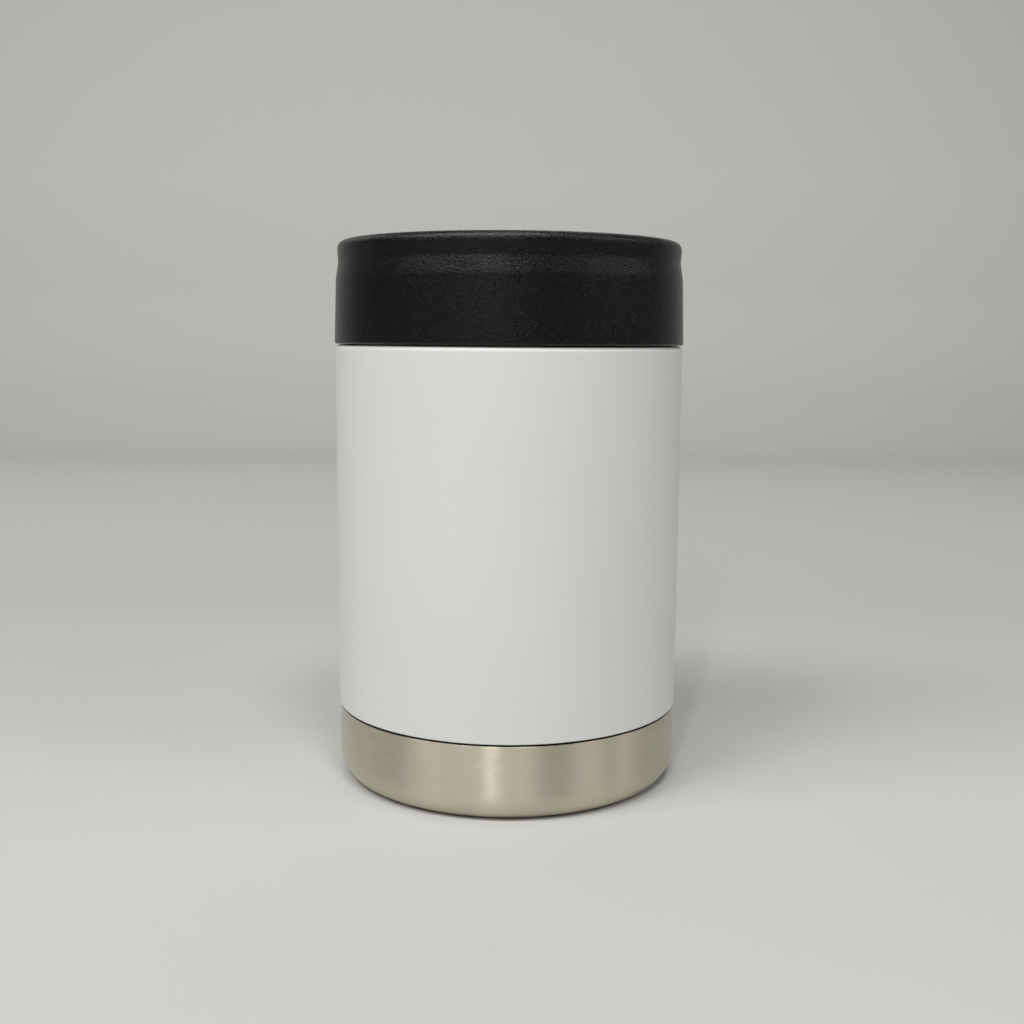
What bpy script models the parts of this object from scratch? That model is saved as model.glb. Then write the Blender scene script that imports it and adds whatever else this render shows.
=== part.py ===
"""Insulated steel can cooler with a screw-on collar.

Metres, +Z up. The origin is on the axis, on the surface that the cooler stands on.
"""

import math

import bmesh
import bpy

MM = 0.001

# Facets round the axis, and along each curved stretch of an outline
COLUMNS = 48
FILLET_STEPS = 3
WAIST_STEPS = 4
BEAD_STEPS = 2
RIM_STEPS = 5
MERGE_DISTANCE = 0.0001 * MM
SHARP_ANGLE = math.radians(35)

# The can, and how it is held
CAN_RADIUS = 33.1 * MM
CAN_PLAY = 0.9 * MM
GRIP_BITE = 2.5 * MM  # the grip ring's soft edge reaches this far inside the can's radius

# Clearances
SEAT_GAP = 0.3 * MM  # between pieces that touch or are joined
THREAD_GAP = 0.4 * MM  # radial play of the collar's thread
COLLAR_LIFT_GAP = 0.3 * MM  # the narrow gap seen under the collar

# Sheet thicknesses
SHELL_WALL = 0.6 * MM
BASE_WALL = 0.6 * MM
LINER_WALL = 0.5 * MM
PLATE_WALL = 0.5 * MM

# Liner
WELL_FLOOR_Z = 8.5 * MM
WELL_CORNER = 5.0 * MM
MOUTH_FILLET = 0.8 * MM

# Coated shell
NECK_SPACE = 1.5 * MM  # the vacuum space between the liner and the neck
SHOULDER_WIDTH = 3.4 * MM
SHELL_BOTTOM_Z = 17.5 * MM
SHOULDER_Z = 100.8 * MM
SHOULDER_FILLET = 1.2 * MM
NECK_FILLET = 0.8 * MM
NECK_HEIGHT = 15.2 * MM

# Screw thread, one turn, right-handed
THREAD_PITCH = 4.0 * MM
THREAD_DEPTH = 1.0 * MM
THREAD_FOOT = 2.4 * MM
THREAD_CREST = 1.2 * MM
THREAD_START = 5.2 * MM  # from the shoulder up to the first coil's middle
THREAD_RUN_OUT = math.radians(15)  # each end of the ridge fades over this angle

# Bare steel base
BASE_STEP = 0.25 * MM  # the coat stands this far proud of the bare steel
PARTING_GAP = 0.4 * MM  # the dark line between coat and base
JOGGLE_HEIGHT = 5.4 * MM
BASE_CORNER = 5.5 * MM
RING_WIDTH = 9.8 * MM  # from the body's outside in to the recess
RING_FILLET = 1.0 * MM
RECESS_DEPTH = 2.1 * MM
PORT_RADIUS = 6.0 * MM
PORT_DEPTH = 1.3 * MM
PORT_SLOPE = 1.0 * MM
PORT_HOLE_RADIUS = 1.0 * MM

# Small pieces in and under the base
SEAL_RADIUS = 3.5 * MM
SEAL_HEIGHT = 1.0 * MM
GETTER_RADIUS = 4.5 * MM
GETTER_HEIGHT = 1.5 * MM
GETTER_OFFSET = 18.0 * MM
GETTER_EDGE = 0.4 * MM

# Grip ring
RING_THICKNESS = 1.8 * MM
GRIP_EDGE = 0.9 * MM
GRIP_TAPER = 3.0 * MM

# Collar, with heights measured down from its top
RIM_HEIGHT = 4.8 * MM  # from the ceiling over the grip ring up to the crest
BEAD_DROP = 2.1 * MM
WAIST_DROP = 4.8 * MM
SKIRT_DROP = 10.2 * MM
COLLAR_OVERHANG = 0.2 * MM  # skirt's lower edge beyond the body
COLLAR_EDGE = 0.5 * MM
SKIRT_TAPER = 0.4 * MM
WAIST_DEPTH = 0.55 * MM
BEAD_RISE = 0.2 * MM
RIM_THICKNESS = 2.1 * MM  # from the bead's outside in to the crest
RIM_INNER_WIDTH = 1.6 * MM
RIM_INNER_DROP = 0.7 * MM
LIP_SETBACK = 0.9 * MM  # the collar's lip stands this far outside the grip ring's edge
LIP_HEIGHT = 1.9 * MM
LIP_EDGE = 0.5 * MM
SNAP_DEPTH = 0.6 * MM  # the bead that holds the grip ring in the collar
SNAP_HEIGHT = 0.6 * MM
LEAD_IN = 0.6 * MM

# Sizes that follow
WELL_RADIUS = CAN_RADIUS + CAN_PLAY
LINER_RADIUS = WELL_RADIUS + LINER_WALL
NECK_RADIUS = LINER_RADIUS + NECK_SPACE + SHELL_WALL
BODY_RADIUS = NECK_RADIUS + SHOULDER_WIDTH
BASE_RADIUS = BODY_RADIUS - BASE_STEP
JOGGLE_RADIUS = BODY_RADIUS - SHELL_WALL - SEAT_GAP
RECESS_RADIUS = BODY_RADIUS - RING_WIDTH
GRIP_RADIUS = CAN_RADIUS - GRIP_BITE
COLLAR_MOUTH_RADIUS = GRIP_RADIUS + LIP_SETBACK
COLLAR_BORE_RADIUS = NECK_RADIUS + THREAD_DEPTH + THREAD_GAP
COLLAR_FOOT_RADIUS = BODY_RADIUS + COLLAR_OVERHANG
SKIRT_TOP_RADIUS = COLLAR_FOOT_RADIUS - SKIRT_TAPER
WAIST_RADIUS = SKIRT_TOP_RADIUS - WAIST_DEPTH
BEAD_RADIUS = WAIST_RADIUS + BEAD_RISE
CREST_RADIUS = BEAD_RADIUS - RIM_THICKNESS
BASE_TOP_Z = SHELL_BOTTOM_Z - PARTING_GAP
NECK_TOP_Z = SHOULDER_Z + NECK_HEIGHT
MOUTH_Z = NECK_TOP_Z + SEAT_GAP + LINER_WALL
GRIP_BOTTOM_Z = MOUTH_Z + SEAT_GAP
GRIP_TOP_Z = GRIP_BOTTOM_Z + RING_THICKNESS
CEILING_Z = GRIP_TOP_Z + SEAT_GAP
COLLAR_BOTTOM_Z = SHOULDER_Z + COLLAR_LIFT_GAP
COLLAR_TOP_Z = CEILING_Z + RIM_HEIGHT


def clear_scene():
    for item in list(bpy.data.objects):
        bpy.data.objects.remove(item, do_unlink=True)


def material(name, colour, roughness, metallic=0.0):
    made = bpy.data.materials.new(name)
    made.use_nodes = True
    shader = made.node_tree.nodes["Principled BSDF"]
    shader.inputs["Base Color"].default_value = (*colour, 1.0)
    shader.inputs["Roughness"].default_value = roughness
    shader.inputs["Metallic"].default_value = metallic
    return made


def inner_fillet(outer_fillet, wall):
    return max(0.0, outer_fillet - wall)


def rounded(corners):
    """An outline through corners (r, z, fillet), each fillet an arc tangent to both of its sides."""
    points = []
    for i, (r, z, fillet) in enumerate(corners):
        if not fillet:
            points.append((r, z))
            continue
        before = corners[i - 1]
        after = corners[(i + 1) % len(corners)]
        into = math.atan2(before[1] - z, before[0] - r)
        out = math.atan2(after[1] - z, after[0] - r)
        half = (out - into + math.pi) % math.tau - math.pi
        half /= 2
        reach = fillet / abs(math.tan(half))
        middle = into + half
        centre_r = r + math.cos(middle) * fillet / abs(math.sin(half))
        centre_z = z + math.sin(middle) * fillet / abs(math.sin(half))
        first = math.atan2(z + reach * math.sin(into) - centre_z, r + reach * math.cos(into) - centre_r)
        last = math.atan2(z + reach * math.sin(out) - centre_z, r + reach * math.cos(out) - centre_r)
        sweep = (last - first + math.pi) % math.tau - math.pi
        for step in range(FILLET_STEPS + 1):
            angle = first + sweep * step / FILLET_STEPS
            points.append((centre_r + fillet * math.cos(angle), centre_z + fillet * math.sin(angle)))
    return points


def turned(name, outline_at, finish):
    """A solid turned round the axis. outline_at(angle) gives the closed outline at that angle as (r, z)."""
    angles = [math.tau * i / COLUMNS for i in range(COLUMNS)]
    shape = bmesh.new()
    rings = []
    for angle in angles:
        outline = outline_at(angle)
        ring = [shape.verts.new((r * math.cos(angle), r * math.sin(angle), z)) for r, z in outline]
        rings.append(ring)
    rows = len(rings[0])
    for i, ring in enumerate(rings):
        following = rings[(i + 1) % COLUMNS]
        for j in range(rows):
            k = (j + 1) % rows
            shape.faces.new((ring[j], following[j], following[k], ring[k]))
    bmesh.ops.remove_doubles(shape, verts=shape.verts, dist=MERGE_DISTANCE)
    bmesh.ops.recalc_face_normals(shape, faces=shape.faces)
    mesh = bpy.data.meshes.new(name)
    shape.to_mesh(mesh)
    shape.free()
    mesh.shade_smooth()
    mesh.set_sharp_from_angle(angle=SHARP_ANGLE)
    mesh.materials.append(finish)
    made = bpy.data.objects.new(name, mesh)
    bpy.context.scene.collection.objects.link(made)
    return made


def ridge(angle, root_radius, height, first_z):
    """The four points of the thread's ridge at an angle, going up. A negative height points inwards."""
    from_end = min(angle, math.tau - math.tau / COLUMNS - angle)
    full = min(1.0, max(0.0, from_end / THREAD_RUN_OUT))
    middle = first_z + THREAD_PITCH * angle / math.tau
    crest_radius = root_radius + height * full
    return [
        (root_radius, middle - THREAD_FOOT / 2),
        (crest_radius, middle - THREAD_CREST / 2),
        (crest_radius, middle + THREAD_CREST / 2),
        (root_radius, middle + THREAD_FOOT / 2),
    ]


def outer_shell_outline(angle):
    inner = BODY_RADIUS - SHELL_WALL
    neck_inner = NECK_RADIUS - SHELL_WALL
    outside = rounded(
        [
            (BODY_RADIUS, SHELL_BOTTOM_Z, 0),
            (BODY_RADIUS, SHOULDER_Z, SHOULDER_FILLET),
            (NECK_RADIUS, SHOULDER_Z, NECK_FILLET),
            (NECK_RADIUS, NECK_TOP_Z, 0),
        ]
    )
    inside = rounded(
        [
            (neck_inner, NECK_TOP_Z, 0),
            (neck_inner, SHOULDER_Z - SHELL_WALL, 0),
            (inner, SHOULDER_Z - SHELL_WALL, inner_fillet(SHOULDER_FILLET, SHELL_WALL)),
            (inner, SHELL_BOTTOM_Z, 0),
        ]
    )
    coils = ridge(angle, NECK_RADIUS, THREAD_DEPTH, SHOULDER_Z + THREAD_START)
    return outside[:-1] + coils + outside[-1:] + inside


def base_cup_outline(_angle):
    wall_inner = BASE_RADIUS - BASE_WALL
    joggle_inner = JOGGLE_RADIUS - BASE_WALL
    joggle_top = BASE_TOP_Z + JOGGLE_HEIGHT
    roof = RECESS_DEPTH + PORT_DEPTH
    return rounded(
        [
            (JOGGLE_RADIUS, joggle_top, 0),
            (JOGGLE_RADIUS, BASE_TOP_Z, 0),
            (BASE_RADIUS, BASE_TOP_Z, 0),
            (BASE_RADIUS, 0, BASE_CORNER),
            (RECESS_RADIUS, 0, RING_FILLET),
            (RECESS_RADIUS, RECESS_DEPTH, 0),
            (PORT_RADIUS, RECESS_DEPTH, 0),
            (PORT_RADIUS - PORT_SLOPE, roof, 0),
            (PORT_HOLE_RADIUS, roof, 0),
            (PORT_HOLE_RADIUS, roof + BASE_WALL, 0),
            (PORT_RADIUS - PORT_SLOPE + BASE_WALL / 2, roof + BASE_WALL, 0),
            (PORT_RADIUS + BASE_WALL / 2, RECESS_DEPTH + BASE_WALL, 0),
            (RECESS_RADIUS + BASE_WALL, RECESS_DEPTH + BASE_WALL, 0),
            (RECESS_RADIUS + BASE_WALL, BASE_WALL, 0),
            (wall_inner, BASE_WALL, inner_fillet(BASE_CORNER, BASE_WALL)),
            (wall_inner, BASE_TOP_Z - BASE_WALL, 0),
            (joggle_inner, BASE_TOP_Z - BASE_WALL, 0),
            (joggle_inner, joggle_top, 0),
        ]
    )


def inner_liner_outline(_angle):
    return rounded(
        [
            (0, WELL_FLOOR_Z, 0),
            (WELL_RADIUS, WELL_FLOOR_Z, WELL_CORNER),
            (WELL_RADIUS, MOUTH_Z, MOUTH_FILLET + LINER_WALL),
            (NECK_RADIUS, MOUTH_Z, 0),
            (NECK_RADIUS, MOUTH_Z - LINER_WALL, 0),
            (LINER_RADIUS, MOUTH_Z - LINER_WALL, MOUTH_FILLET),
            (LINER_RADIUS, WELL_FLOOR_Z - LINER_WALL, WELL_CORNER + LINER_WALL),
            (0, WELL_FLOOR_Z - LINER_WALL, 0),
        ]
    )


def base_plate_outline(_angle):
    radius = RECESS_RADIUS - SEAT_GAP
    top = RECESS_DEPTH - SEAT_GAP
    bottom = top - PLATE_WALL
    chamfer = PLATE_WALL / 2
    return [(0, bottom), (radius - chamfer, bottom), (radius, bottom + chamfer), (radius, top), (0, top)]


def port_seal_outline(_angle):
    """A low dome hanging from the port's roof, flat at the top and rounded below."""
    top = RECESS_DEPTH + PORT_DEPTH - SEAT_GAP
    turns = [math.pi / 2 * i / FILLET_STEPS for i in range(FILLET_STEPS + 1)]
    dome = [(SEAL_RADIUS * math.sin(t), top - SEAL_HEIGHT * math.cos(t)) for t in turns]
    return dome + [(0, top)]


def getter_outline(_angle):
    bottom = RECESS_DEPTH + BASE_WALL + SEAT_GAP
    top = bottom + GETTER_HEIGHT
    edge = GETTER_RADIUS - GETTER_EDGE
    return [
        (0, bottom),
        (edge, bottom),
        (GETTER_RADIUS, bottom + GETTER_EDGE),
        (GETTER_RADIUS, top - GETTER_EDGE),
        (edge, top),
        (0, top),
    ]


def eased(start, end, steps):
    """Points from start to end, leaving and arriving upright, without the last one."""
    points = []
    for i in range(steps):
        share = i / steps
        blend = (1 - math.cos(math.pi * share)) / 2
        points.append((start[0] + (end[0] - start[0]) * blend, start[1] + (end[1] - start[1]) * share))
    return points


def collar_outline(angle):
    """Up the outside by skirt, waist, bead and rim, down the funnel, and back down the threaded bore."""
    skirt_top = (SKIRT_TOP_RADIUS, COLLAR_TOP_Z - SKIRT_DROP)
    waist = (WAIST_RADIUS, COLLAR_TOP_Z - WAIST_DROP)
    bead = (BEAD_RADIUS, COLLAR_TOP_Z - BEAD_DROP)
    outside = [
        (COLLAR_FOOT_RADIUS - COLLAR_EDGE, COLLAR_BOTTOM_Z),
        (COLLAR_FOOT_RADIUS, COLLAR_BOTTOM_Z + COLLAR_EDGE),
    ]
    outside += eased(skirt_top, waist, WAIST_STEPS)
    outside += eased(waist, bead, BEAD_STEPS)
    for i in range(RIM_STEPS + 1):
        turn = math.pi / 2 * i / RIM_STEPS
        r = CREST_RADIUS + RIM_THICKNESS * math.cos(turn)
        z = COLLAR_TOP_Z - BEAD_DROP * (1 - math.sin(turn))
        outside.append((r, z))
    lip_top = CEILING_Z + LIP_HEIGHT
    snap_top = GRIP_BOTTOM_Z - SEAT_GAP
    snap_radius = COLLAR_BORE_RADIUS - SNAP_DEPTH
    inside = [
        (CREST_RADIUS - RIM_INNER_WIDTH, COLLAR_TOP_Z - RIM_INNER_DROP),
        (COLLAR_MOUTH_RADIUS + LIP_EDGE, lip_top),
        (COLLAR_MOUTH_RADIUS, lip_top - LIP_EDGE),
        (COLLAR_MOUTH_RADIUS, CEILING_Z),
        (COLLAR_BORE_RADIUS, CEILING_Z),
        (COLLAR_BORE_RADIUS, snap_top),
        (snap_radius, snap_top - SNAP_HEIGHT / 2),
        (snap_radius, snap_top - SNAP_HEIGHT),
        (COLLAR_BORE_RADIUS, snap_top - SNAP_HEIGHT - SNAP_DEPTH),
    ]
    first_coil_z = SHOULDER_Z + THREAD_START - THREAD_PITCH / 2
    coils = ridge(angle, COLLAR_BORE_RADIUS, -THREAD_DEPTH, first_coil_z)
    lead_in = [
        (COLLAR_BORE_RADIUS, COLLAR_BOTTOM_Z + LEAD_IN),
        (COLLAR_BORE_RADIUS + LEAD_IN, COLLAR_BOTTOM_Z),
    ]
    return outside + inside + coils[::-1] + lead_in


def grip_ring_outline(_angle):
    """A flat seal on the mouth, thinning inwards to a soft edge that grips the can's shoulder."""
    outer = COLLAR_BORE_RADIUS - SEAT_GAP
    return [
        (GRIP_RADIUS + GRIP_TAPER, GRIP_BOTTOM_Z),
        (outer, GRIP_BOTTOM_Z),
        (outer, GRIP_TOP_Z),
        (GRIP_RADIUS + GRIP_EDGE / 2, GRIP_TOP_Z),
        (GRIP_RADIUS, GRIP_TOP_Z - GRIP_EDGE / 2),
        (GRIP_RADIUS + GRIP_EDGE / 2, GRIP_TOP_Z - GRIP_EDGE),
    ]


def main():
    clear_scene()
    powder_coat = material("powder_coat", (0.62, 0.62, 0.59), 0.45)
    brushed_steel = material("brushed_steel", (0.46, 0.42, 0.36), 0.32, 1.0)
    drawn_steel = material("drawn_steel", (0.52, 0.50, 0.47), 0.25, 1.0)
    black_plastic = material("black_plastic", (0.012, 0.012, 0.012), 0.55)
    silicone = material("silicone", (0.02, 0.02, 0.02), 0.7)
    solder_glass = material("solder_glass", (0.30, 0.28, 0.22), 0.3)
    sintered_alloy = material("sintered_alloy", (0.16, 0.16, 0.16), 0.8, 1.0)

    turned("outer_shell", outer_shell_outline, powder_coat)
    turned("base_cup", base_cup_outline, brushed_steel)
    turned("inner_liner", inner_liner_outline, drawn_steel)
    turned("base_plate", base_plate_outline, brushed_steel)
    turned("port_seal", port_seal_outline, solder_glass)
    getter = turned("getter", getter_outline, sintered_alloy)
    getter.location.x = GETTER_OFFSET
    turned("grip_ring", grip_ring_outline, silicone)
    turned("collar", collar_outline, black_plastic)


main()
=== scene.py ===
import math

import bmesh
import bpy
import numpy as np
from mathutils import Matrix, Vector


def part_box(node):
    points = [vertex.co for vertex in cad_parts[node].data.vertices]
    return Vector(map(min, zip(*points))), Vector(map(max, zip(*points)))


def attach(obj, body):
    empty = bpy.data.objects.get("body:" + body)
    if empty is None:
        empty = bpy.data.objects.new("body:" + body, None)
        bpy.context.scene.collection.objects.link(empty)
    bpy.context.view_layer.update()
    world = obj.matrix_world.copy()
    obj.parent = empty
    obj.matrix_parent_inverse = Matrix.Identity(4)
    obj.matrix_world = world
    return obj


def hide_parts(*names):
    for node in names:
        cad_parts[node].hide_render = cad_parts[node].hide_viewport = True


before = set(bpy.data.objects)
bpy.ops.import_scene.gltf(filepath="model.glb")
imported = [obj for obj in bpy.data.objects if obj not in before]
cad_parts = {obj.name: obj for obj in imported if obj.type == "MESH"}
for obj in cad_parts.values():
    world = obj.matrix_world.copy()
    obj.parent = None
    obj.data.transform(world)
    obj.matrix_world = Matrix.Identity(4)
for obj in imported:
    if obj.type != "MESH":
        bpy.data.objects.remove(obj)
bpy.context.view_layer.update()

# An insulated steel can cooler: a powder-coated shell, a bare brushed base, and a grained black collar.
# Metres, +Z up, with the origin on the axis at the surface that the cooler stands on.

MM = 0.001

# How finely the turned pieces are drawn
COLUMNS = 384
ARC_STEP = math.radians(9)
LONGEST_ROW = 3.0 * MM
EDGE_ROW = 0.05 * MM
THREAD_ROW = 0.16 * MM
ON_LINE = EDGE_ROW / 10
SAME_POINT = 0.0001 * MM
SHARP_ANGLE = math.radians(40)
TURNED_MAP = "Turned"

# Places taken from the frame
BODY_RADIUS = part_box("outer_shell")[1].x
SHELL_BOTTOM_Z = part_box("outer_shell")[0].z
NECK_TOP_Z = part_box("outer_shell")[1].z
BASE_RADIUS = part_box("base_cup")[1].x
JOGGLE_TOP_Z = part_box("base_cup")[1].z
NECK_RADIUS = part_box("inner_liner")[1].x
MOUTH_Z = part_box("inner_liner")[1].z
LINER_BOTTOM_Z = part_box("inner_liner")[0].z
RING_OUTER_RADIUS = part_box("grip_ring")[1].x
RING_BOTTOM_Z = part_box("grip_ring")[0].z
RING_TOP_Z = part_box("grip_ring")[1].z
COLLAR_FOOT_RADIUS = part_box("collar")[1].x
COLLAR_BOTTOM_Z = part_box("collar")[0].z
COLLAR_TOP_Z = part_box("collar")[1].z
PLATE_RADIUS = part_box("base_plate")[1].x
PLATE_BOTTOM_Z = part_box("base_plate")[0].z
PLATE_TOP_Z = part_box("base_plate")[1].z

# Sizes that the frame's boxes don't show, as in the solids where no comment says otherwise
SEAT_GAP = 0.3 * MM
SHELL_WALL = 0.6 * MM
BASE_WALL = 0.6 * MM
LINER_WALL = 0.5 * MM
NECK_SPACE = 1.5 * MM
PARTING_GAP = 0.5 * MM  # as wide as the photo's dark line; 0.4 mm in the solids
SHOULDER_Z = 100.8 * MM
SHOULDER_FILLET = 1.2 * MM
NECK_FILLET = 0.8 * MM
BASE_CORNER = 5.5 * MM
CORNER_REACH = 4.7 * MM  # outside, the real corner is a little flatter below than the solids' round one
CORNER_RISE = 6.2 * MM
RECESS_RADIUS = 30.2 * MM
RECESS_DEPTH = 2.1 * MM
RING_FILLET = 1.0 * MM
PORT_RADIUS = 6.0 * MM
PORT_DEPTH = 1.3 * MM
PORT_SLOPE = 1.0 * MM
PORT_HOLE_RADIUS = 1.0 * MM
WELL_CORNER = 5.0 * MM
MOUTH_FILLET = 0.8 * MM
GRIP_RADIUS = 30.6 * MM
COLLAR_MOUTH_RADIUS = 31.5 * MM
THREAD_PITCH = 4.0 * MM
THREAD_DEPTH = 1.0 * MM
THREAD_FOOT = 2.4 * MM
THREAD_CREST = 1.2 * MM
THREAD_START = 5.2 * MM
THREAD_GAP = 0.4 * MM
THREAD_RUN_OUT = math.radians(15)
BASE_TOP_Z = SHELL_BOTTOM_Z - PARTING_GAP
COLLAR_BORE_RADIUS = NECK_RADIUS + THREAD_DEPTH + THREAD_GAP


def colour(code):
    """An sRGB hex colour as linear red, green, blue and alpha."""
    parts = [int(code[i:i + 2], 16) / 255 for i in (1, 3, 5)]
    linear = [c / 12.92 if c <= 0.04045 else ((c + 0.055) / 1.055) ** 2.4 for c in parts]
    return (*linear, 1.0)


def add(tree, kind, links=None, **settings):
    """Adds a node. Settings are its properties or sockets; links join its sockets to nodes' outputs."""
    node = tree.nodes.new(kind)
    for name, value in settings.items():
        if hasattr(node, name):
            setattr(node, name, value)
        else:
            node.inputs[name.replace("_", " ")].default_value = value
    for socket, source in (links or {}).items():
        tree.links.new(source, node.inputs[socket])
    return node


# Outlines

def arc(centre, radius, start, end):
    """Points on a circle of that radius from one angle to the other, in degrees."""
    sweep = math.radians(end - start)
    steps = max(3, math.ceil(abs(sweep) / ARC_STEP))
    turns = math.radians(start) + sweep * np.linspace(0, 1, steps + 1)
    return np.column_stack((centre[0] + radius * np.cos(turns), centre[1] + radius * np.sin(turns)))


def filleted(corners):
    """An open line through corners (r, z, fillet), each fillet an arc tangent to both of its sides."""
    stretches = []
    for i, (r, z, fillet) in enumerate(corners):
        if not fillet:
            stretches.append(np.array([[r, z]]))
            continue
        here = np.array((r, z))
        into = np.array(corners[i - 1][:2]) - here
        out = np.array(corners[i + 1][:2]) - here
        into /= np.linalg.norm(into)
        out /= np.linalg.norm(out)
        half = math.acos(np.clip(into @ out, -1, 1)) / 2
        middle = (into + out) / np.linalg.norm(into + out)
        centre = here + middle * fillet / math.sin(half)
        first = here + into * fillet / math.tan(half) - centre
        last = here + out * fillet / math.tan(half) - centre
        start = math.degrees(math.atan2(first[1], first[0]))
        end = math.degrees(math.atan2(last[1], last[0]))
        stretches.append(arc(centre, fillet, start, start + (end - start + 180) % 360 - 180))
    return np.vstack(stretches)


def with_rows(line):
    """Adds rows to the straight stretches of a line: one close to each end, and more evenly between."""
    points = [line[:1]]
    for start, end in zip(line[:-1], line[1:]):
        length = np.linalg.norm(end - start)
        if length > 4 * EDGE_ROW:
            count = math.ceil(length / LONGEST_ROW) + 1
            inner = np.linspace(EDGE_ROW / length, 1 - EDGE_ROW / length, count)
            points.append(start + (end - start) * inner[:, None])
        points.append(end[None])
    return np.vstack(points)


def upright(r, start_z, end_z):
    """A plain vertical stretch with rows close enough together to carry a thread."""
    heights = np.linspace(start_z, end_z, math.ceil(abs(end_z - start_z) / THREAD_ROW) + 1)
    return np.column_stack((np.full_like(heights, r), heights))


def turned(name, sections, finishes, body, replaced, cut=None):
    """A closed outline carried once round the axis: x = r cos t, y = r sin t, t from 0 to a full turn.

    sections are (points, finish number), in order round the outline. cut(t, r, z) gives the radius where
    the surface isn't round, such as along a thread.
    """
    outline = np.vstack([points for points, _ in sections])
    numbers = np.concatenate([np.full(len(points), number) for points, number in sections])
    apart = np.linalg.norm(outline - np.roll(outline, 1, axis=0), axis=1) > SAME_POINT
    outline, numbers = outline[apart], numbers[apart]
    following = np.roll(outline, -1, axis=0)
    if (outline[:, 0] * following[:, 1] - following[:, 0] * outline[:, 1]).sum() < 0:
        raise ValueError(name + ": the outline runs the wrong way round")
    rows = len(outline)
    along = np.concatenate(([0], np.cumsum(np.linalg.norm(following - outline, axis=1))))
    turn = np.arange(COLUMNS)[:, None] * math.tau / COLUMNS
    r = np.repeat(outline[None, :, 0], COLUMNS, axis=0)
    z = np.repeat(outline[None, :, 1], COLUMNS, axis=0)
    if cut:
        r = cut(turn, r, z)
    points = np.stack((r * np.cos(turn), r * np.sin(turn), z), axis=-1).reshape(-1, 3)
    i, j = np.meshgrid(np.arange(COLUMNS), np.arange(rows), indexing="ij")
    i2, j2 = (i + 1) % COLUMNS, (j + 1) % rows
    corners = (i * rows + j, i2 * rows + j, i2 * rows + j2, i * rows + j2)
    faces = np.stack(corners, axis=-1).reshape(-1, 4)
    u = np.stack((i, i + 1, i + 1, i), axis=-1) / COLUMNS
    v = np.stack((along[j], along[j], along[j + 1], along[j + 1]), axis=-1)
    mesh = bpy.data.meshes.new(name)
    mesh.vertices.add(len(points))
    mesh.vertices.foreach_set("co", points.ravel())
    mesh.loops.add(faces.size)
    mesh.loops.foreach_set("vertex_index", faces.ravel())
    mesh.polygons.add(len(faces))
    mesh.polygons.foreach_set("loop_start", np.arange(len(faces)) * 4)
    mesh.polygons.foreach_set("material_index", np.tile(numbers, COLUMNS))
    mesh.update(calc_edges=True)
    layer = mesh.uv_layers.new(name=TURNED_MAP)
    layer.data.foreach_set("uv", np.stack((u, v), axis=-1).ravel())
    if outline[:, 0].min() < ON_LINE:
        close_poles(mesh)
    for finish in finishes:
        mesh.materials.append(finish)
    mesh.shade_smooth()
    mesh.set_sharp_from_angle(angle=SHARP_ANGLE)
    piece = bpy.data.objects.new(name, mesh)
    bpy.context.scene.collection.objects.link(piece)
    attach(piece, body)
    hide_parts(replaced)
    return piece


def close_poles(mesh):
    """Joins the rings that lie on the axis, whose points are all in one place, into one point each."""
    shape = bmesh.new()
    shape.from_mesh(mesh)
    bmesh.ops.remove_doubles(shape, verts=shape.verts[:], dist=SAME_POINT)
    shape.to_mesh(mesh)
    shape.free()


def thread(root_radius, height, first_z):
    """A thread's ridge of one turn, as a function that gives the radius at each point of the wall.

    The ridge's middle climbs evenly, z = first_z + pitch t / full turn. The radius rises by height
    there, flat on top with eased flanks (3 s^2 - 2 s^3), and both ends of the ridge fade into the wall.
    """
    def radius(turn, r, z):
        """The wall's radius with the ridge on it, where r is the root radius, and r elsewhere."""
        middle = first_z + THREAD_PITCH * turn / math.tau
        from_middle = np.abs(z - middle)
        flank = (THREAD_FOOT / 2 - from_middle) / (THREAD_FOOT / 2 - THREAD_CREST / 2)
        rise = np.clip(flank, 0, 1)
        rise = rise * rise * (3 - 2 * rise)
        ends = np.clip(np.minimum(turn, math.tau - turn) / THREAD_RUN_OUT, 0, 1)
        ends = ends * ends * (3 - 2 * ends)
        return np.where(np.abs(r - root_radius) < ON_LINE, r + height * rise * ends, r)
    return radius


# Pieces

COAT_EDGE = 0.18 * MM
NECK_EDGE = 0.2 * MM
FILLET_SHARE = 0.98  # keeps a fillet just short of the point before it
THREAD_LOW_Z = SHOULDER_Z + THREAD_START - THREAD_FOOT / 2
THREAD_HIGH_Z = SHOULDER_Z + THREAD_START + THREAD_PITCH + THREAD_FOOT / 2


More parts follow.
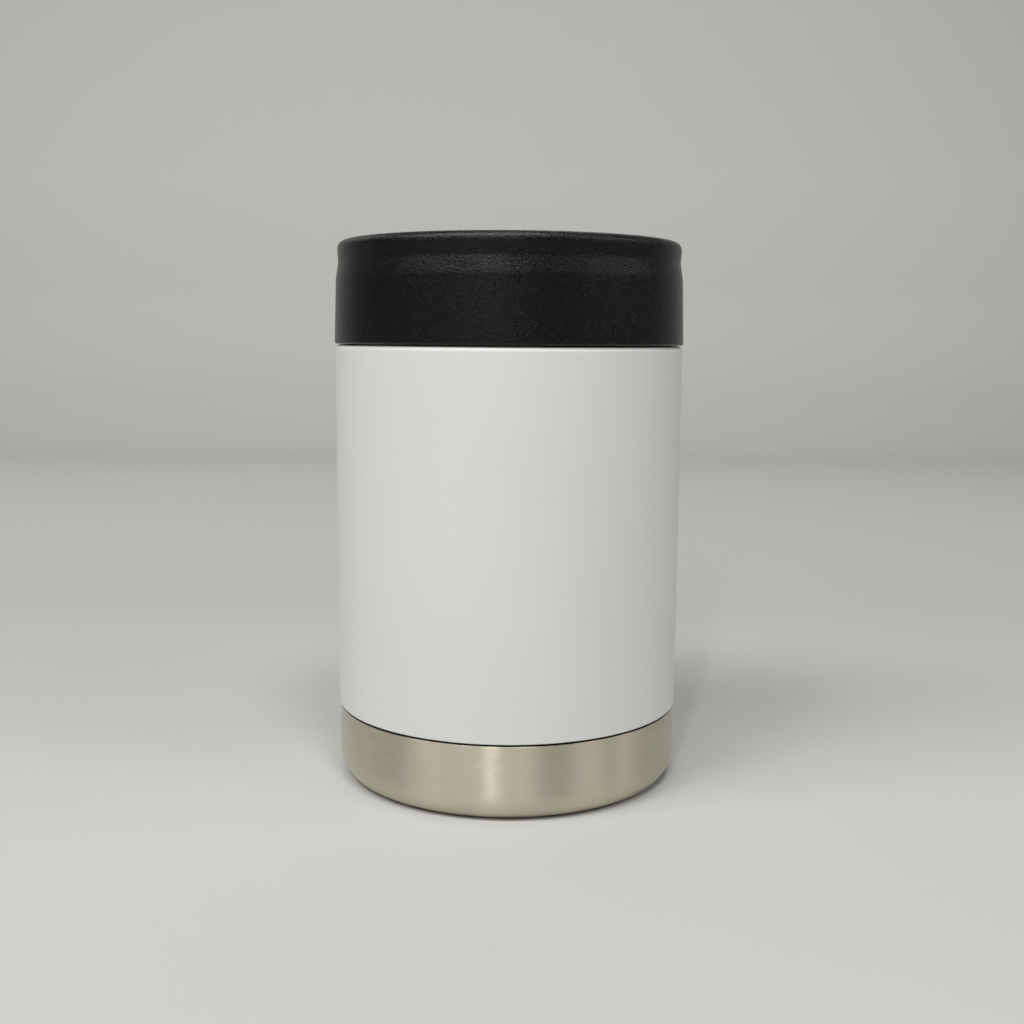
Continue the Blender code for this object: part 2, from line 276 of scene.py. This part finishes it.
def make_shell(coat, steel):
    """The coated wall with its rolled lower edge and rounded shoulder, and the bare threaded neck."""
    inner = BODY_RADIUS - SHELL_WALL
    neck_inner = NECK_RADIUS - SHELL_WALL
    wall = filleted([
        (inner + NECK_EDGE, SHELL_BOTTOM_Z, 0),
        (BODY_RADIUS, SHELL_BOTTOM_Z, COAT_EDGE),
        (BODY_RADIUS, SHOULDER_Z, SHOULDER_FILLET),
        (NECK_RADIUS + NECK_FILLET, SHOULDER_Z, 0),
    ])
    neck = filleted([
        (NECK_RADIUS + NECK_FILLET, SHOULDER_Z, 0),
        (NECK_RADIUS, SHOULDER_Z, NECK_FILLET * FILLET_SHARE),
        (NECK_RADIUS, THREAD_LOW_Z, 0),
    ])
    inside = filleted([
        (NECK_RADIUS, THREAD_HIGH_Z, 0),
        (NECK_RADIUS, NECK_TOP_Z, NECK_EDGE),
        (neck_inner, NECK_TOP_Z, NECK_EDGE),
        (neck_inner, SHOULDER_Z - SHELL_WALL, 0),
        (inner, SHOULDER_Z - SHELL_WALL, SHOULDER_FILLET - SHELL_WALL),
        (inner, SHELL_BOTTOM_Z + NECK_EDGE, 0),
        (inner + NECK_EDGE, SHELL_BOTTOM_Z, 0),
    ])
    sections = [
        (with_rows(wall), 0),
        (with_rows(neck), 1),
        (upright(NECK_RADIUS, THREAD_LOW_Z, THREAD_HIGH_Z), 1),
        (with_rows(inside), 1),
    ]
    cut = thread(NECK_RADIUS, THREAD_DEPTH, SHOULDER_Z + THREAD_START)
    return turned("coated_shell", sections, [coat, steel], "vessel", "outer_shell", cut)


SEAM_WIDTH = 0.5 * MM
SEAM_FILLET = 0.1 * MM
BAND_EDGE = 0.08 * MM
LIP_EDGE_FILLET = 0.15 * MM
PORT_FILLET = 0.4 * MM
RECESS_FILLET = 0.5 * MM
PRESSED_FILLET = 0.3 * MM


def make_base(steel, gap_shade):
    """The bare cup: a joggled lip that goes up into the shell, the band, corner and standing ring.

    The outside of the corner is a quarter of an ellipse, CORNER_REACH wide and CORNER_RISE high.
    """
    wall_inner = BASE_RADIUS - BASE_WALL
    band_inner = BASE_RADIUS - BASE_WALL / 4
    joggle = BODY_RADIUS - SHELL_WALL - SEAT_GAP
    roof = RECESS_DEPTH + PORT_DEPTH
    under = filleted([
        (PORT_HOLE_RADIUS, roof + BASE_WALL, 0),
        (PORT_HOLE_RADIUS, roof, 0),
        (PORT_RADIUS - PORT_SLOPE, roof, PORT_FILLET),
        (PORT_RADIUS, RECESS_DEPTH, PORT_FILLET),
        (RECESS_RADIUS, RECESS_DEPTH, RECESS_FILLET),
        (RECESS_RADIUS, 0, RING_FILLET),
        (BASE_RADIUS - CORNER_REACH, 0, 0),
    ])
    corner_centre = (BASE_RADIUS - CORNER_REACH, CORNER_RISE)
    corner = arc((0, 0), 1, -90, 0) * (CORNER_REACH, CORNER_RISE) + corner_centre
    band = filleted([
        (BASE_RADIUS, CORNER_RISE, 0),
        (BASE_RADIUS, BASE_TOP_Z, BAND_EDGE),
        (band_inner, BASE_TOP_Z, 0),
    ])
    seam = filleted([
        (band_inner, BASE_TOP_Z, 0),
        (joggle, BASE_TOP_Z, SEAM_FILLET),
        (joggle, SHELL_BOTTOM_Z + SEAM_WIDTH, 0),
    ])
    inside = filleted([
        (joggle, SHELL_BOTTOM_Z + SEAM_WIDTH, 0),
        (joggle, JOGGLE_TOP_Z, LIP_EDGE_FILLET),
        (joggle - BASE_WALL, JOGGLE_TOP_Z, LIP_EDGE_FILLET),
        (joggle - BASE_WALL, BASE_TOP_Z - BASE_WALL, 0),
        (wall_inner, BASE_TOP_Z - BASE_WALL, SEAM_FILLET),
        (wall_inner, BASE_WALL, BASE_CORNER - BASE_WALL),
        (RECESS_RADIUS + BASE_WALL, BASE_WALL, PRESSED_FILLET),
        (RECESS_RADIUS + BASE_WALL, RECESS_DEPTH + BASE_WALL, PRESSED_FILLET),
        (PORT_RADIUS + BASE_WALL / 2, RECESS_DEPTH + BASE_WALL, PRESSED_FILLET),
        (PORT_RADIUS - PORT_SLOPE + BASE_WALL / 2, roof + BASE_WALL, PRESSED_FILLET),
        (PORT_HOLE_RADIUS, roof + BASE_WALL, 0),
    ])
    sections = [
        (with_rows(under), 0),
        (corner, 0),
        (with_rows(band), 0),
        # Finish 1 paints the surfaces inside the parting gap near black, as shade.
        (with_rows(seam), 1),
        (with_rows(inside), 0),
    ]
    return turned("brushed_base", sections, [steel, gap_shade], "vessel", "base_cup")


MOUTH_EDGE = 0.15 * MM


def make_liner(steel):
    """The drawn cup that holds the can, with its rim folded out over the neck."""
    well = NECK_RADIUS - SHELL_WALL - NECK_SPACE - LINER_WALL
    outer = well + LINER_WALL
    floor = LINER_BOTTOM_Z + LINER_WALL
    line = filleted([
        (0, LINER_BOTTOM_Z, 0),
        (outer, LINER_BOTTOM_Z, WELL_CORNER + LINER_WALL),
        (outer, MOUTH_Z - LINER_WALL, MOUTH_FILLET),
        (NECK_RADIUS, MOUTH_Z - LINER_WALL, MOUTH_EDGE),
        (NECK_RADIUS, MOUTH_Z, MOUTH_EDGE),
        (well, MOUTH_Z, MOUTH_FILLET + LINER_WALL),
        (well, floor, WELL_CORNER),
        (0, floor, 0),
    ])
    return turned("can_well", [(with_rows(line), 0)], [steel], "vessel", "inner_liner")


PLATE_STEP_SHARE = 0.82
PLATE_STEP = 0.15 * MM
PLATE_LOWER_EDGE = 0.2 * MM
PLATE_UPPER_EDGE = 0.05 * MM


def make_plate(steel):
    """The thin cover disc under the base, with a shallow stamped step near its edge."""
    step_radius = PLATE_RADIUS * PLATE_STEP_SHARE
    line = filleted([
        (0, PLATE_BOTTOM_Z + PLATE_STEP, 0),
        (step_radius, PLATE_BOTTOM_Z + PLATE_STEP, PRESSED_FILLET),
        (step_radius + 2 * PLATE_STEP, PLATE_BOTTOM_Z, PRESSED_FILLET),
        (PLATE_RADIUS, PLATE_BOTTOM_Z, PLATE_LOWER_EDGE),
        (PLATE_RADIUS, PLATE_TOP_Z, PLATE_UPPER_EDGE),
        (0, PLATE_TOP_Z, 0),
    ])
    return turned("cover_disc", [(with_rows(line), 0)], [steel], "vessel", "base_plate")


RING_LIP = 0.9 * MM
RING_TAPER = 3.0 * MM
RING_BEND = 0.8 * MM
RING_EDGE = 0.25 * MM


def make_ring(silicone):
    """The soft ring: a flat seal that lies on the mouth, thinning inwards to a rounded edge."""
    lip_radius = GRIP_RADIUS + RING_LIP / 2
    middle_z = RING_TOP_Z - RING_LIP / 2
    line = np.vstack([
        arc((lip_radius, middle_z), RING_LIP / 2, 90, 270),
        filleted([
            (lip_radius, middle_z - RING_LIP / 2, 0),
            (GRIP_RADIUS + RING_TAPER, RING_BOTTOM_Z, RING_BEND),
            (RING_OUTER_RADIUS, RING_BOTTOM_Z, RING_EDGE),
            (RING_OUTER_RADIUS, RING_TOP_Z, RING_EDGE),
            (lip_radius, RING_TOP_Z, 0),
        ]),
    ])
    return turned("soft_ring", [(with_rows(line), 0)], [silicone], "ring_lift", "grip_ring")


COLLAR_EDGE = 0.5 * MM
COLLAR_SEAT_GAP = 0.14 * MM  # screwed down, the skirt all but touches the shoulder
SKIRT_TAPER = 0.4 * MM
SKIRT_TOP_DROP = 8.5 * MM
SKIRT_TOP_BEND = 8 * MM
WAIST_DROP = 4.7 * MM
WAIST_DEPTH = 0.6 * MM
WAIST_BEND = 4 * MM
BEAD_DROP = 2.1 * MM
BEAD_RISE = 0.2 * MM
RIM_THICKNESS = 2.1 * MM
RIM_SQUARENESS = 0.8
RIM_POINTS = 16
RIM_INNER_WIDTH = 1.6 * MM
RIM_INNER_DROP = 0.7 * MM
RIM_INNER_POINTS = 10
LIP_HEIGHT = 1.9 * MM
LIP_EDGE = 0.5 * MM
CEILING_FILLET = 0.2 * MM
SNAP_DEPTH = 0.6 * MM
SNAP_HEIGHT = 0.6 * MM
SNAP_FILLET = 0.2 * MM
LEAD_IN = 0.6 * MM


def collar_rim():
    """The rim: a squarish quarter turn up from the bead, then a smooth roll over into the funnel.

    The quarter turn is r = crest + width cos^p t, z = top - drop (1 - sin^p t), for t from 0 to 90
    degrees, where p is RIM_SQUARENESS. The roll is r = crest - width s, z = top - drop s^2, for s from
    0 to 1, with a width and a drop of its own.
    """
    skirt_top = COLLAR_FOOT_RADIUS - SKIRT_TAPER
    bead_radius = skirt_top - WAIST_DEPTH + BEAD_RISE
    crest = bead_radius - RIM_THICKNESS
    turns = np.linspace(0, math.pi / 2, RIM_POINTS)
    up = np.column_stack((
        crest + RIM_THICKNESS * np.cos(turns).clip(0) ** RIM_SQUARENESS,
        COLLAR_TOP_Z - BEAD_DROP * (1 - np.sin(turns) ** RIM_SQUARENESS),
    ))
    ease = np.linspace(0, 1, RIM_INNER_POINTS)[1:]
    over = np.column_stack((crest - RIM_INNER_WIDTH * ease, COLLAR_TOP_Z - RIM_INNER_DROP * ease ** 2))
    return np.vstack((up, over))


def make_collar(plastic):
    """The screw collar: skirt, waist, bead and rim outside; funnel, snap bead and thread inside."""
    skirt_top = COLLAR_FOOT_RADIUS - SKIRT_TAPER
    waist = skirt_top - WAIST_DEPTH
    ceiling = RING_TOP_Z + SEAT_GAP
    lip_top = ceiling + LIP_HEIGHT
    snap_top = RING_BOTTOM_Z - SEAT_GAP
    snap_radius = COLLAR_BORE_RADIUS - SNAP_DEPTH
    foot_z = SHOULDER_Z + COLLAR_SEAT_GAP
    coils_top = THREAD_HIGH_Z - THREAD_PITCH / 2
    coils_bottom = THREAD_LOW_Z - THREAD_PITCH / 2
    rim = collar_rim()
    outside = filleted([
        (COLLAR_BORE_RADIUS + LEAD_IN, foot_z, 0),
        (COLLAR_FOOT_RADIUS, foot_z, COLLAR_EDGE),
        (skirt_top, COLLAR_TOP_Z - SKIRT_TOP_DROP, SKIRT_TOP_BEND),
        (waist, COLLAR_TOP_Z - WAIST_DROP, WAIST_BEND),
        (rim[0, 0], rim[0, 1], 0),
    ])
    inside = filleted([
        (rim[-1, 0], rim[-1, 1], 0),
        (COLLAR_MOUTH_RADIUS, lip_top, LIP_EDGE),
        (COLLAR_MOUTH_RADIUS, ceiling, CEILING_FILLET),
        (COLLAR_BORE_RADIUS, ceiling, CEILING_FILLET),
        (COLLAR_BORE_RADIUS, snap_top, 0),
        (snap_radius, snap_top - SNAP_HEIGHT / 2, SNAP_FILLET),
        (snap_radius, snap_top - SNAP_HEIGHT, SNAP_FILLET),
        (COLLAR_BORE_RADIUS, snap_top - SNAP_HEIGHT - SNAP_DEPTH, 0),
        (COLLAR_BORE_RADIUS, coils_top, 0),
    ])
    lead_in = np.array([
        (COLLAR_BORE_RADIUS, foot_z + LEAD_IN),
        (COLLAR_BORE_RADIUS + LEAD_IN, foot_z),
    ])
    sections = [
        (with_rows(outside)[:-1], 0),
        (rim, 0),
        (with_rows(inside), 0),
        (upright(COLLAR_BORE_RADIUS, coils_top, coils_bottom), 0),
        (with_rows(lead_in), 0),
    ]
    cut = thread(COLLAR_BORE_RADIUS, -THREAD_DEPTH, SHOULDER_Z + THREAD_START - THREAD_PITCH / 2)
    return turned("screw_collar", sections, [plastic], "screw_collar", "collar", cut)


# Materials

def new_material(name):
    """An empty material, its Principled shader, and its object coordinates."""
    made = bpy.data.materials.new(name)
    made.use_nodes = True
    tree = made.node_tree
    shader = tree.nodes["Principled BSDF"]
    place = add(tree, "ShaderNodeTexCoord").outputs["Object"]
    return made, tree, shader, place


def powder_coat():
    """Polyester powder coat, sprayed and baked: pale grey-white, satin, with a very fine orange peel."""
    made, tree, shader, place = new_material("powder_coat_satin_white")
    peel = add(tree, "ShaderNodeTexNoise", {"Vector": place}, Scale=1 / (0.8 * MM), Detail=2.0)
    grit = add(tree, "ShaderNodeTexNoise", {"Vector": place}, Scale=1 / (0.28 * MM), Detail=2.0)
    height = add(tree, "ShaderNodeMix", {2: peel.outputs["Fac"], 3: grit.outputs["Fac"]}, Factor=0.5)
    bump = add(tree, "ShaderNodeBump", {"Height": height.outputs[0]}, Strength=0.5, Distance=0.02 * MM)
    drift = add(tree, "ShaderNodeTexNoise", {"Vector": place}, Scale=1 / (30 * MM), Detail=1.0)
    tone = add(tree, "ShaderNodeValToRGB", {"Fac": drift.outputs["Fac"]})
    tone.color_ramp.elements[0].color = colour("#DCDCD9")
    tone.color_ramp.elements[1].color = colour("#E0E0DD")
    tree.links.new(tone.outputs["Color"], shader.inputs["Base Color"])
    tree.links.new(bump.outputs["Normal"], shader.inputs["Normal"])
    shader.inputs["Roughness"].default_value = 0.48
    return made


def brushed_steel():
    """Stainless steel, brushed round the axis with a fine belt: warm, with bright upright streaks.

    The lines are 0.15 mm apart, coarser than a real 180 grit belt's, so that they show in the streaks.
    """
    made, tree, shader, place = new_material("stainless_steel_brushed")
    axes = add(tree, "ShaderNodeSeparateXYZ", {"Vector": place})
    turned_map = add(tree, "ShaderNodeUVMap", uv_map=TURNED_MAP)
    along = add(tree, "ShaderNodeSeparateXYZ", {"Vector": turned_map.outputs["UV"]})
    stroke = add(tree, "ShaderNodeCombineXYZ", {
        "X": axes.outputs["X"], "Y": axes.outputs["Y"], "Z": along.outputs["Y"]})
    long_strokes = add(tree, "ShaderNodeMapping", {"Vector": stroke.outputs["Vector"]},
                       Scale=(1 / (40 * MM), 1 / (40 * MM), 1 / (0.15 * MM)))
    short_strokes = add(tree, "ShaderNodeMapping", {"Vector": stroke.outputs["Vector"]},
                        Scale=(1 / (4 * MM), 1 / (4 * MM), 1 / (0.3 * MM)))
    lines = add(tree, "ShaderNodeTexNoise", {"Vector": long_strokes.outputs["Vector"]},
                Scale=1.0, Detail=3.0)
    dashes = add(tree, "ShaderNodeTexNoise", {"Vector": short_strokes.outputs["Vector"]},
                 Scale=1.0, Detail=2.0)
    height = add(tree, "ShaderNodeMix", {2: lines.outputs["Fac"], 3: dashes.outputs["Fac"]}, Factor=0.85)
    bump = add(tree, "ShaderNodeBump", {"Height": height.outputs[0]}, Strength=1.0, Distance=0.016 * MM)
    rough = add(tree, "ShaderNodeMapRange", {"Value": dashes.outputs["Fac"]},
                From_Min=0.3, From_Max=0.7, To_Min=0.3, To_Max=0.4)
    tone = add(tree, "ShaderNodeValToRGB", {"Fac": lines.outputs["Fac"]})
    tone.color_ramp.elements[0].position = 0.3
    tone.color_ramp.elements[1].position = 0.7
    tone.color_ramp.elements[0].color = colour("#D2CAB9")
    tone.color_ramp.elements[1].color = colour("#D9D1C0")
    tangent = add(tree, "ShaderNodeTangent", direction_type="RADIAL", axis="Z")
    tree.links.new(tone.outputs["Color"], shader.inputs["Base Color"])
    tree.links.new(rough.outputs["Result"], shader.inputs["Roughness"])
    tree.links.new(bump.outputs["Normal"], shader.inputs["Normal"])
    tree.links.new(tangent.outputs["Tangent"], shader.inputs["Tangent"])
    shader.inputs["Metallic"].default_value = 1.0
    shader.inputs["Anisotropic"].default_value = 0.97
    shader.inputs["Anisotropic Rotation"].default_value = 0.25
    shader.inputs["Coat Weight"].default_value = 0.2
    shader.inputs["Coat Roughness"].default_value = 0.25
    return made


def painted_gap_shade():
    """Steel in the gap at the foot of the parting line, painted near black as shade, with a faint mottle
    and bump.
    """
    made, tree, shader, place = new_material("parting_gap_painted_shade")
    shade_mottle = add(tree, "ShaderNodeTexNoise", {"Vector": place}, Scale=1 / (0.4 * MM), Detail=3.0)
    tone = add(tree, "ShaderNodeValToRGB", {"Fac": shade_mottle.outputs["Fac"]})
    tone.color_ramp.elements[0].color = colour("#14120F")
    tone.color_ramp.elements[1].color = colour("#2A2620")
    bump = add(tree, "ShaderNodeBump", {"Height": shade_mottle.outputs["Fac"]}, Strength=0.6, Distance=0.02 * MM)
    tree.links.new(tone.outputs["Color"], shader.inputs["Base Color"])
    tree.links.new(bump.outputs["Normal"], shader.inputs["Normal"])
    shader.inputs["Roughness"].default_value = 0.8
    return made


def drawn_steel():
    """Stainless steel, drawn and electropolished inside: cooler and smoother, with faint draw lines."""
    made, tree, shader, place = new_material("stainless_steel_drawn")
    strokes = add(tree, "ShaderNodeMapping", {"Vector": place},
                  Scale=(1 / (12 * MM), 1 / (12 * MM), 1 / (0.5 * MM)))
    lines = add(tree, "ShaderNodeTexNoise", {"Vector": strokes.outputs["Vector"]}, Scale=1.0, Detail=3.0)
    bump = add(tree, "ShaderNodeBump", {"Height": lines.outputs["Fac"]},
               Strength=0.3, Distance=0.006 * MM)
    rough = add(tree, "ShaderNodeMapRange", {"Value": lines.outputs["Fac"]}, To_Min=0.2, To_Max=0.3)
    tree.links.new(rough.outputs["Result"], shader.inputs["Roughness"])
    tree.links.new(bump.outputs["Normal"], shader.inputs["Normal"])
    shader.inputs["Base Color"].default_value = colour("#CBC8C1")
    shader.inputs["Metallic"].default_value = 1.0
    return made


def grained_plastic():
    """Polypropylene, moulded in a spark-eroded tool: near black, with pebbles that catch the light.

    The pebbles are about 0.5 mm apart, close to the photo's: the noise has a cell of 0.32 mm.
    """
    made, tree, shader, place = new_material("polypropylene_black_grained")
    pebbles = add(tree, "ShaderNodeTexNoise", {"Vector": place}, Scale=1 / (0.32 * MM), Detail=1.0)
    raised = add(tree, "ShaderNodeMapRange", {"Value": pebbles.outputs["Fac"]},
                 From_Min=0.35, From_Max=0.65)
    bump = add(tree, "ShaderNodeBump", {"Height": raised.outputs["Result"]},
               Strength=1.0, Distance=0.042 * MM)
    rough = add(tree, "ShaderNodeMapRange", {"Value": raised.outputs["Result"]},
                To_Min=0.34, To_Max=0.26)
    # Painted shade: the hollows between the pebbles are darker than their raised tops.
    tone = add(tree, "ShaderNodeValToRGB", {"Fac": raised.outputs["Result"]})
    tone.color_ramp.elements[0].color = colour("#020202")
    tone.color_ramp.elements[1].color = colour("#080808")
    tree.links.new(tone.outputs["Color"], shader.inputs["Base Color"])
    tree.links.new(rough.outputs["Result"], shader.inputs["Roughness"])
    tree.links.new(bump.outputs["Normal"], shader.inputs["Normal"])
    shader.inputs["Specular IOR Level"].default_value = 0.34
    return made


def silicone_rubber():
    """Liquid silicone rubber, moulded: soft dark grey with a dull sheen and a powdery fine texture."""
    made, tree, shader, place = new_material("silicone_rubber_black")
    grit = add(tree, "ShaderNodeTexNoise", {"Vector": place}, Scale=1 / (0.3 * MM), Detail=2.0)
    bump = add(tree, "ShaderNodeBump", {"Height": grit.outputs["Fac"]}, Strength=0.3, Distance=0.02 * MM)
    rough = add(tree, "ShaderNodeMapRange", {"Value": grit.outputs["Fac"]}, To_Min=0.55, To_Max=0.7)
    tree.links.new(rough.outputs["Result"], shader.inputs["Roughness"])
    tree.links.new(bump.outputs["Normal"], shader.inputs["Normal"])
    shader.inputs["Base Color"].default_value = colour("#1C1C1C")
    shader.inputs["IOR"].default_value = 1.41
    return made


def solder_glass():
    """Solder glass, melted into the port: olive-grey, glossy, with faint bubbles."""
    made, tree, shader, place = new_material("solder_glass_melted")
    bubbles = add(tree, "ShaderNodeTexVoronoi", {"Vector": place}, Scale=1 / (0.6 * MM))
    tone = add(tree, "ShaderNodeValToRGB", {"Fac": bubbles.outputs["Distance"]})
    tone.color_ramp.elements[0].color = colour("#A8A48E")
    tone.color_ramp.elements[1].color = colour("#8C8873")
    tree.links.new(tone.outputs["Color"], shader.inputs["Base Color"])
    shader.inputs["Roughness"].default_value = 0.18
    shader.inputs["IOR"].default_value = 1.7
    return made


def sintered_alloy():
    """Getter alloy, pressed from powder and sintered: dark grey, matt and grainy."""
    made, tree, shader, place = new_material("getter_alloy_sintered")
    grains = add(tree, "ShaderNodeTexVoronoi", {"Vector": place}, Scale=1 / (0.15 * MM))
    tone = add(tree, "ShaderNodeValToRGB", {"Fac": grains.outputs["Distance"]})
    tone.color_ramp.elements[0].color = colour("#6E6E6C")
    tone.color_ramp.elements[1].color = colour("#4A4A49")
    bump = add(tree, "ShaderNodeBump", {"Height": grains.outputs["Distance"]},
               Strength=0.5, Distance=0.03 * MM)
    tree.links.new(tone.outputs["Color"], shader.inputs["Base Color"])
    tree.links.new(bump.outputs["Normal"], shader.inputs["Normal"])
    shader.inputs["Roughness"].default_value = 0.7
    shader.inputs["Metallic"].default_value = 0.8
    return made


# Stage, lights and camera

FLOOR_FRONT = -1.6
FLOOR_BACK = 0.8
COVE_RADIUS = 0.15
WALL_TOP = 1.6
STAGE_HALF_WIDTH = 1.8
SWEEP_LENGTH = 1.5  # metres back along the floor and up the backdrop, over which its painted light and shade change
BACKDROP_PAINTED_SHADING = (
    (0.12, "#BBBBB7"), (0.24, "#C6C6C2"), (0.4, "#CFCFCB"),
    (0.64, "#CFCFCB"), (0.72, "#D9D9D5"), (0.8, "#DADAD6"),
)


def make_stage():
    """A paper floor that sweeps up into a backdrop: one outline in Y and Z, carried straight along X.

    It is matt, with painted shade behind the cooler and painted light low on the backdrop, and it is
    clear when seen from behind.
    """
    cove = arc((FLOOR_BACK, COVE_RADIUS), COVE_RADIUS, -90, 0)
    line = np.vstack(([(FLOOR_FRONT, 0.0)], cove, [(FLOOR_BACK + COVE_RADIUS, WALL_TOP)]))
    rows = len(line)
    sides = np.repeat([-STAGE_HALF_WIDTH, STAGE_HALF_WIDTH], rows)
    points = np.column_stack((sides, np.tile(line, (2, 1))))
    j = np.arange(rows - 1)
    faces = np.column_stack((j, rows + j, rows + j + 1, j + 1))
    mesh = bpy.data.meshes.new("stage")
    mesh.from_pydata(points.tolist(), [], faces.tolist())
    mesh.shade_smooth()
    made, tree, shader, place = new_material("paper_backdrop")
    shader.inputs["Roughness"].default_value = 0.9
    shader.inputs["Specular IOR Level"].default_value = 0.2
    axes = add(tree, "ShaderNodeSeparateXYZ", {"Vector": place})
    sweep = add(tree, "ShaderNodeMath", {0: axes.outputs["Y"], 1: axes.outputs["Z"]}, operation="ADD")
    back = add(tree, "ShaderNodeMapRange", {"Value": sweep.outputs[0]}, From_Max=SWEEP_LENGTH)
    # Painted light and shade: the ramp makes the floor darker a little behind the cooler and the
    # backdrop lighter low down.
    tone = add(tree, "ShaderNodeValToRGB", {"Fac": back.outputs["Result"]})
    tone.color_ramp.elements[0].color = colour("#C1C1BD")
    tone.color_ramp.elements[1].color = colour("#CDCDC9")
    for position, code in BACKDROP_PAINTED_SHADING:
        tone.color_ramp.elements.new(position).color = colour(code)
    tree.links.new(tone.outputs["Color"], shader.inputs["Base Color"])
    side = add(tree, "ShaderNodeNewGeometry")
    clear = add(tree, "ShaderNodeBsdfTransparent")
    front = add(tree, "ShaderNodeMixShader", {
        0: side.outputs["Backfacing"], 1: shader.outputs[0], 2: clear.outputs[0]})
    tree.links.new(front.outputs[0], tree.nodes["Material Output"].inputs["Surface"])
    mesh.materials.append(made)
    stage = bpy.data.objects.new("stage", mesh)
    bpy.context.scene.collection.objects.link(stage)


LAMP_DISTANCE = 1.2
LAMP_AIM_Z = 0.3 * (COLLAR_TOP_Z + COLLAR_BOTTOM_Z)


def make_lamp(name, azimuth, elevation, size, power):
    """A plain white softbox that faces the cooler.

    Azimuth 0 is in front of it, and positive angles are to its right. Size is width and height in
    metres, and power is in watts.
    """
    a, e = math.radians(azimuth), math.radians(elevation)
    lamp = bpy.data.lights.new(name, "AREA")
    lamp.shape = "RECTANGLE"
    lamp.size, lamp.size_y = size
    lamp.energy = power
    made = bpy.data.objects.new(name, lamp)
    target = Matrix.Translation((0, 0, LAMP_AIM_Z))
    away = Matrix.Rotation(a, 4, "Z") @ Matrix.Rotation(math.pi / 2 - e, 4, "X")
    made.matrix_world = target @ away @ Matrix.Translation((0, 0, LAMP_DISTANCE))
    bpy.context.scene.collection.objects.link(made)


ROOM_COLOUR = "#B8B8B3"
ROOM_GLOW = 0.9
ROOM_GLOSS = 0.12  # how much of the room gloss shows, low enough to leave the black collar black


def make_world():
    """A pale room that the camera, glass and gloss see past the stage; matt surfaces get none of it."""
    world = bpy.data.worlds.new("room")
    world.use_nodes = True
    tree = world.node_tree
    glow = tree.nodes["Background"]
    ray = add(tree, "ShaderNodeLightPath")
    gloss = add(tree, "ShaderNodeMath", {0: ray.outputs["Is Glossy Ray"]}, operation="MULTIPLY")
    gloss.inputs[1].default_value = ROOM_GLOSS
    seen = add(tree, "ShaderNodeMath", {0: ray.outputs["Is Camera Ray"], 1: gloss.outputs[0]},
               operation="MAXIMUM")
    through = add(tree, "ShaderNodeMath", {0: seen.outputs[0], 1: ray.outputs["Is Transmission Ray"]},
                  operation="MAXIMUM")
    strength = add(tree, "ShaderNodeMath", {0: through.outputs[0]}, operation="MULTIPLY")
    strength.inputs[1].default_value = ROOM_GLOW
    tree.links.new(strength.outputs[0], glow.inputs["Strength"])
    glow.inputs["Color"].default_value = colour(ROOM_COLOUR)
    bpy.context.scene.world = world


CAMERA_DISTANCE = 297.7 * MM
CAMERA_HEIGHT = 102.44 * MM
CAMERA_PITCH = math.radians(7.81)
CAMERA_YAW = math.radians(0.179)
CAMERA_ROLL = math.radians(0.364)
CAMERA_LENS = 44.57
SENSOR_WIDTH = 36.0
CAMERA_NEAR = 10 * MM


def make_camera():
    """The photo's camera, fitted to the cooler's outlines: in front, and looking a little down."""
    camera = bpy.data.cameras.new("camera")
    camera.lens = CAMERA_LENS
    camera.sensor_width = SENSOR_WIDTH
    camera.clip_start = CAMERA_NEAR
    made = bpy.data.objects.new("camera", camera)
    place = Matrix.Translation((0, -CAMERA_DISTANCE, CAMERA_HEIGHT))
    turn = Matrix.Rotation(-CAMERA_YAW, 4, "Z") @ Matrix.Rotation(math.pi / 2 - CAMERA_PITCH, 4, "X")
    made.matrix_world = place @ turn @ Matrix.Rotation(CAMERA_ROLL, 4, "Z")
    bpy.context.scene.collection.objects.link(made)
    bpy.context.scene.camera = made


make_camera()
make_stage()
make_world()
make_lamp("left_box", -62, 40, (0.5, 0.4), 3.2)
make_lamp("left_strip", -66, 50, (0.05, 0.3), 0.46)
make_lamp("key", -42, 54, (0.3, 0.3), 2.7)
make_lamp("front_box", -14, 63, (0.7, 0.34), 4.9)
make_lamp("front_strip", -11, 36, (0.045, 0.7), 2.6)
make_lamp("front_right", 18, 60, (0.2, 0.34), 3.0)
make_lamp("right_box", 62, 36, (0.4, 0.5), 2.05)
make_lamp("right_edge", 90, 28, (0.3, 0.34), 1.05)
make_lamp("back_left", -125, 35, (0.4, 0.4), 0.85)
make_lamp("back_box", 170, 50, (0.6, 0.4), 0.9)

bare_steel = brushed_steel()
inner_steel = drawn_steel()
make_shell(powder_coat(), inner_steel)
make_base(bare_steel, painted_gap_shade())
make_liner(inner_steel)
make_plate(bare_steel)
make_ring(silicone_rubber())
make_collar(grained_plastic())
for node, finish in (("port_seal", solder_glass()), ("getter", sintered_alloy())):
    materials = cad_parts[node].data.materials
    materials.clear()
    materials.append(finish)

bpy.context.scene.view_settings.view_transform = "Standard"
